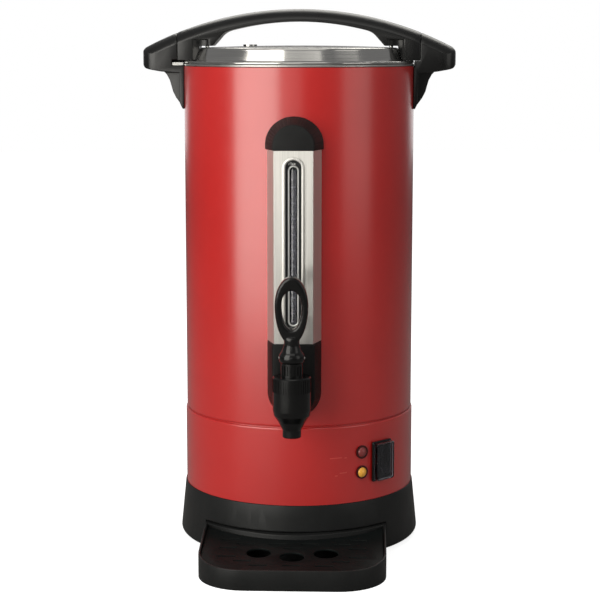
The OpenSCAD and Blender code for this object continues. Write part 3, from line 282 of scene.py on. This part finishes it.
def piece(name, bm, material, body, smooth_angle=35):
    """Turns a bmesh in millimetres into a finished object in metres that rides on a body."""
    bmesh.ops.recalc_face_normals(bm, faces=bm.faces)
    for f in bm.faces:
        f.smooth = True
    for e in bm.edges:
        if len(e.link_faces) == 2 and e.calc_face_angle(0) > math.radians(smooth_angle):
            e.smooth = False
    bmesh.ops.transform(bm, matrix=Matrix.Scale(MM, 4), verts=bm.verts)
    mesh = bpy.data.meshes.new(name)
    bm.to_mesh(mesh)
    bm.free()
    obj = bpy.data.objects.new(name, mesh)
    bpy.context.scene.collection.objects.link(obj)
    mesh.materials.append(MATERIALS[material])
    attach(obj, body)
    return obj


def stand_for(node, ending, bm, smooth_angle=35):
    """Shows a bmesh in place of a CAD node."""
    obj = piece(node + ending, bm, FINISHES[node], owner[node], smooth_angle)
    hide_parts(node)


def cad_bmesh(node):
    """A CAD node's mesh as a bmesh in millimetres, with its flat faces whole again."""
    bm = bmesh.new()
    bm.from_mesh(nodes[node].data)
    bmesh.ops.transform(bm, matrix=Matrix.Scale(1 / MM, 4), verts=bm.verts)
    bmesh.ops.remove_doubles(bm, verts=bm.verts, dist=0.002)
    bmesh.ops.dissolve_limit(bm, angle_limit=math.radians(0.3), verts=bm.verts, edges=bm.edges,
                             use_dissolve_boundaries=False)
    return bm


def eased(node, width, segments=3, chosen=None):
    """Stands for a CAD node, with its sharp edges rounded, or only those whose middle is chosen."""
    sharp = math.radians(28)
    bm = cad_bmesh(node)
    edges = [e for e in bm.edges if len(e.link_faces) == 2 and e.calc_face_angle(0) > sharp
             and (chosen is None or chosen((e.verts[0].co + e.verts[1].co) / 2))]
    bmesh.ops.bevel(bm, geom=edges, offset=width, segments=segments, profile=0.5, affect="EDGES",
                    clamp_overlap=False)
    stand_for(node, "_eased", bm)


def softened(node, voxel, rounds, swell=0.0):
    """Stands for a CAD node that is moulded with round edges all over: an even mesh, smoothed.
    The swell makes up for what the smoothing takes off."""
    mesh = bpy.data.meshes.new("blank")
    blank = cad_bmesh(node)
    blank.to_mesh(mesh)
    blank.free()
    obj = bpy.data.objects.new("blank", mesh)
    bpy.context.scene.collection.objects.link(obj)
    even = obj.modifiers.new("even", "REMESH")
    even.mode = "VOXEL"
    even.voxel_size = voxel
    bm = bmesh.new()
    bm.from_object(obj, bpy.context.evaluated_depsgraph_get())
    bpy.data.objects.remove(obj)
    bpy.data.meshes.remove(mesh)
    for v in bm.verts:
        v.co += v.normal * swell
    for _ in range(rounds):
        bmesh.ops.smooth_vert(bm, verts=bm.verts, factor=0.5,
                              use_axis_x=True, use_axis_y=True, use_axis_z=True)
    stand_for(node, "_soft", bm, smooth_angle=70)


def block(bm, low, high):
    """Adds a box between two corners."""
    size = Vector(high) - Vector(low)
    middle = (Vector(high) + Vector(low)) / 2
    placed = Matrix.Translation(middle) @ Matrix.Diagonal((*size, 1))
    bmesh.ops.create_cube(bm, size=1, matrix=placed)


def prism(bm, outer, inner, y0, y1):
    """Adds a closed wall from y0 to y1 between two loops of (x, z) points."""
    rings = [[bm.verts.new((x, y, z)) for x, z in loop] for loop in (outer, inner) for y in (y0, y1)]
    n = len(outer)
    for a, b in ((0, 1), (1, 3), (3, 2), (2, 0)):
        for i in range(n):
            j = (i + 1) % n
            bm.faces.new((rings[a][i], rings[a][j], rings[b][j], rings[b][i]))


def long_loop(half, bottom, top, steps=20):
    """An upright slot's outline with round ends, as (x, z) points."""
    arc = [math.pi * i / steps for i in range(steps + 1)]
    return ([(half * math.cos(a), top - half + half * math.sin(a)) for a in arc]
            + [(-half * math.cos(a), bottom + half - half * math.sin(a)) for a in arc])


def round_bar(bm, path, radius, sides=10):
    """Adds a closed round bar that follows a loop of points in a front plane."""
    depth = Vector((0, 1, 0))
    n = len(path)
    rings = []
    for i, p in enumerate(path):
        along = (path[(i + 1) % n] - path[i - 1]).normalized()
        side = along.cross(depth).normalized()
        rings.append([bm.verts.new(p + (side * math.cos(a) + depth * math.sin(a)) * radius)
                      for a in (2 * math.pi * k / sides for k in range(sides))])
    for i in range(n):
        a, b = rings[i], rings[(i + 1) % n]
        for k in range(sides):
            bm.faces.new((a[k], b[k], b[k - 1], a[k - 1]))


# ---- moulded and bent pieces with round edges ----

softened("tap_lever", 0.5, 40, swell=0.35)
softened("switch_cover", 0.35, 14)
eased("handle_left", 0.8)
eased("handle_right", 0.8)
eased("lid_handle", 0.8)
eased("gauge_cap", 0.9)
eased("tap_housing", 1.5)
eased("drip_tray", 0.8)
eased("base_ring", 0.8)
eased("tray_grid", 0.4, segments=2)
eased("switch_frame", 0.6)
eased("rocker", 0.6)
eased("gauge_channel", 0.8, chosen=lambda middle: middle.y < GAUGE_Y - 1)


# ---- details that the scene adds ----

def add_text(name, words, size, at, material):
    """Raised lettering that faces the front, centred on a point of its base line."""
    text = bpy.data.curves.new(name, "FONT")
    text.body = words
    text.size = size
    text.extrude = 0.15
    text.align_x = "CENTER"
    obj = bpy.data.objects.new(name, text)
    bpy.context.scene.collection.objects.link(obj)
    shape = obj.evaluated_get(bpy.context.evaluated_depsgraph_get())
    bm = bmesh.new()
    bm.from_mesh(shape.to_mesh())
    shape.to_mesh_clear()
    bpy.data.objects.remove(obj)
    bpy.data.curves.remove(text)
    upright = Matrix.Translation(at) @ Matrix.Rotation(math.radians(90), 4, "X")
    bmesh.ops.transform(bm, matrix=upright, verts=bm.verts)
    piece(name, bm, material, "urn")


def add_gauge_window():
    """A black insert in the slot, a bright rim around its window and the word Max above that."""
    inset, wall = 0.1, 0.9
    plate_y, plate_t = GAUGE_Y + 2.6, 1.0
    window_half, window_bottom, window_top = 4.6, SLOT_Z0 + 7, TUBE_TOP - 1
    rim_radius, word_size = 0.9, 4.0
    outer = long_loop(SLOT_HALF - inset, SLOT_Z0 + inset, SLOT_Z1 - inset)
    inner = long_loop(SLOT_HALF - wall, SLOT_Z0 + wall, SLOT_Z1 - wall)
    window = long_loop(window_half, window_bottom, window_top)

    bm = bmesh.new()
    prism(bm, outer, inner, GAUGE_Y + 0.2, BACKING_Y - 0.3)
    piece("slot_liner", bm, "backing_dark", "urn")

    bm = bmesh.new()
    prism(bm, inner, window, plate_y, plate_y + plate_t)
    piece("window_plate", bm, "backing_dark", "urn")

    bm = bmesh.new()
    round_bar(bm, [Vector((x, plate_y, z)) for x, z in window], rim_radius)
    piece("window_rim", bm, "bright_steel", "urn")

    word_at = (-1.4, plate_y - 0.12, window_top + 1.3)
    add_text("max_mark", "Max", word_size, word_at, "print_white")


def add_scale():
    """A strip in the sight tube with a raised mark for every cup, every other one longer."""
    half, thick = 2.9, 0.3
    z0, z1 = SLOT_Z0 + 2, TUBE_TOP - 5
    bm = bmesh.new()
    block(bm, (-half, TUBE_Y - thick, z0), (half, TUBE_Y + thick, z1))
    piece("scale_strip", bm, "scale_grey", "urn")

    margin, pitch, mark_height = 8, 7.5, 1.4
    left, short, long = -half + 0.3, 0.2, 1.2
    front, back = TUBE_Y - thick - 0.2, TUBE_Y - thick + 0.1
    bm = bmesh.new()
    for i in range(int((z1 - z0 - margin) / pitch)):
        z = z0 + margin + i * pitch
        right = long if i % 2 else short
        block(bm, (left, front, z), (right, back, z + mark_height))
    piece("scale_marks", bm, "scale_marks", "urn")


def add_lamp_labels():
    """Plain bars printed beside the lamps, as (angle from, angle to, height)."""
    bars = ((17.3, 23.4, 101.9), (24.6, 26.0, 101.4), (22.2, 26.0, 86.6), (19.8, 21.2, 84.2))
    back, front, half = LOWER_R - 0.05, LOWER_R + 0.08, 0.5
    section = ((back, -half), (front, -half), (front, half), (back, half))
    steps = 6
    bm = bmesh.new()
    for start, end, z in bars:
        rings = []
        for i in range(steps + 1):
            a = math.radians(start + (end - start) * i / steps)
            rings.append([bm.verts.new((r * math.sin(a), -r * math.cos(a), z + h))
                          for r, h in section])
        for a, b in zip(rings, rings[1:]):
            for i in range(4):
                bm.faces.new((a[i], a[i - 1], b[i - 1], b[i]))
        bm.faces.new(rings[0])
        bm.faces.new(rings[-1])
    piece("lamp_labels", bm, "print_red", "urn")


def add_barrel_ribs():
    """Fine upright ribs around the top of the tap's barrel."""
    radius, z0, z1, count = 17.8, 180.5, 193.5, 44
    sunk, proud, half, rounding = 0.3, 0.35, 0.55, 0.25
    bm = bmesh.new()
    for i in range(count):
        a = 2 * math.pi * i / count
        turn = Matrix.Translation((0, BARREL_Y, 0)) @ Matrix.Rotation(a, 4, "Z")
        start = len(bm.verts)
        block(bm, (radius - sunk, -half, z0), (radius + proud, half, z1))
        bm.verts.ensure_lookup_table()
        bmesh.ops.transform(bm, matrix=turn, verts=bm.verts[start:])
    bmesh.ops.bevel(bm, geom=bm.edges[:], offset=rounding, segments=2, affect="EDGES",
                    clamp_overlap=True)
    piece("barrel_ribs", bm, "tap_black", "urn")


add_gauge_window()
add_scale()
add_lamp_labels()
add_barrel_ribs()


# ---- light and floor, in metres ----

FLOOR = 0.52            # how much light the floor throws back
FLOOR_MIRROR = 0.25     # the same, as gloss sees it
ROOM = 0.22             # light from all around
ROOM_MIRROR = 0.12      # what gloss and glass see of the room in front
CEILING_MIRROR = 0.22   # what they see above
LAMP_WHITE = (1.0, 0.98, 0.92)


def softbox(name, azimuth, distance, height, width, tall, radiance, elevation=0.0):
    """An area light that faces the urn's axis, or down by the elevation in degrees.
    Height is its middle, radiance what a mirror would see."""
    a, e = math.radians(azimuth), math.radians(elevation)
    data = bpy.data.lights.new(name, "AREA")
    data.shape = "RECTANGLE"
    data.size, data.size_y = width, tall
    data.energy = radiance * math.pi * width * tall
    data.color = LAMP_WHITE
    obj = bpy.data.objects.new(name, data)
    bpy.context.scene.collection.objects.link(obj)
    obj.location = (distance * math.sin(a), -distance * math.cos(a), height)
    obj.rotation_euler = (math.radians(90) - e, 0, a)


def light_path(tree, *outputs):
    """One where the ray is of any of the given kinds, else zero."""
    path = tree.nodes.new("ShaderNodeLightPath")
    total = path.outputs[outputs[0]]
    for name in outputs[1:]:
        either = tree.nodes.new("ShaderNodeMath")
        either.operation = "MAXIMUM"
        tree.links.new(total, either.inputs[0])
        tree.links.new(path.outputs[name], either.inputs[1])
        total = either.outputs[0]
    return total


def graded(tree, value, start, end, low, high):
    """Low up to start, high from end on, and a smooth step between."""
    n = tree.nodes.new("ShaderNodeMapRange")
    n.interpolation_type = "SMOOTHSTEP"
    limits = {"From Min": start, "From Max": end, "To Min": low, "To Max": high}
    for socket, number in limits.items():
        n.inputs[socket].default_value = number
    tree.links.new(value, n.inputs["Value"])
    return n.outputs["Result"]


def choose(tree, fac, a, b):
    """a where fac is 0, b where it is 1; a and b are numbers or sockets."""
    n = tree.nodes.new("ShaderNodeMix")
    tree.links.new(fac, n.inputs["Factor"])
    for socket, value in (("A", a), ("B", b)):
        if isinstance(value, float):
            n.inputs[socket].default_value = value
        else:
            tree.links.new(value, n.inputs[socket])
    return n.outputs["Result"]


def add_world():
    """White for the camera and dim around the urn; level gloss also sees a white backdrop behind."""
    world = bpy.data.worlds.new("studio")
    world.use_nodes = True
    bpy.context.scene.world = world
    tree = world.node_tree
    background = tree.nodes["Background"]
    background.inputs["Color"].default_value = (1, 1, 1, 1)
    coord = tree.nodes.new("ShaderNodeTexCoord")
    split = tree.nodes.new("ShaderNodeSeparateXYZ")
    tree.links.new(coord.outputs["Generated"], split.inputs[0])
    _, towards_back, upwards = split.outputs
    level = graded(tree, towards_back, 0.72, 0.97, ROOM_MIRROR, 1.0)
    above = graded(tree, upwards, 0.0, 0.08, 0.0, 1.0)
    mirrored = choose(tree, above, level, CEILING_MIRROR)
    in_gloss = light_path(tree, "Is Glossy Ray", "Is Transmission Ray")
    strength = choose(tree, in_gloss, ROOM, mirrored)
    strength = choose(tree, light_path(tree, "Is Camera Ray"), strength, 1.0)
    tree.links.new(strength, background.inputs["Strength"])


def add_floor():
    """A pale disc that the camera sees as white, with the shadow kept near the urn."""
    shadow_r, white_r, shadow_lift = 0.14, 0.24, 0.86
    bm = bmesh.new()
    bmesh.ops.create_circle(bm, cap_ends=True, segments=96, radius=6.0)
    mesh = bpy.data.meshes.new("floor")
    bm.to_mesh(mesh)
    bm.free()
    obj = bpy.data.objects.new("floor", mesh)
    bpy.context.scene.collection.objects.link(obj)
    mat = bpy.data.materials.new("floor_white")
    mat.use_nodes = True
    tree = mat.node_tree
    bsdf = tree.nodes["Principled BSDF"]
    bsdf.inputs["Roughness"].default_value = 0.9
    bsdf.inputs["Specular IOR Level"].default_value = 0.0
    bsdf.inputs["Emission Color"].default_value = (1, 1, 1, 1)
    coord = tree.nodes.new("ShaderNodeTexCoord")
    length = tree.nodes.new("ShaderNodeVectorMath")
    length.operation = "LENGTH"
    tree.links.new(coord.outputs["Object"], length.inputs[0])
    lift = graded(tree, length.outputs["Value"], shadow_r, white_r, shadow_lift, 1.0)
    seen = light_path(tree, "Is Camera Ray", "Is Transmission Ray")
    tree.links.new(choose(tree, seen, 0.0, lift), bsdf.inputs["Emission Strength"])
    albedo = choose(tree, light_path(tree, "Is Glossy Ray"), FLOOR, FLOOR_MIRROR)
    tree.links.new(albedo, bsdf.inputs["Base Color"])
    mesh.materials.append(mat)


add_world()
add_floor()
softbox("key", -39, distance=1.45, height=0.88, width=1.20, tall=1.74, radiance=3.5)
softbox("fill", 60, distance=2.2, height=0.9, width=1.2, tall=1.6, radiance=0.85)
softbox("front", -4, distance=2.6, height=0.45, width=0.8, tall=0.8, radiance=0.7)
softbox("top", 0, distance=0.9, height=1.75, width=1.4, tall=1.0, radiance=1.0, elevation=60)
softbox("back", 176, distance=1.5, height=1.7, width=1.6, tall=1.2, radiance=2.6, elevation=42)


bpy.context.scene.view_settings.view_transform = "Standard"
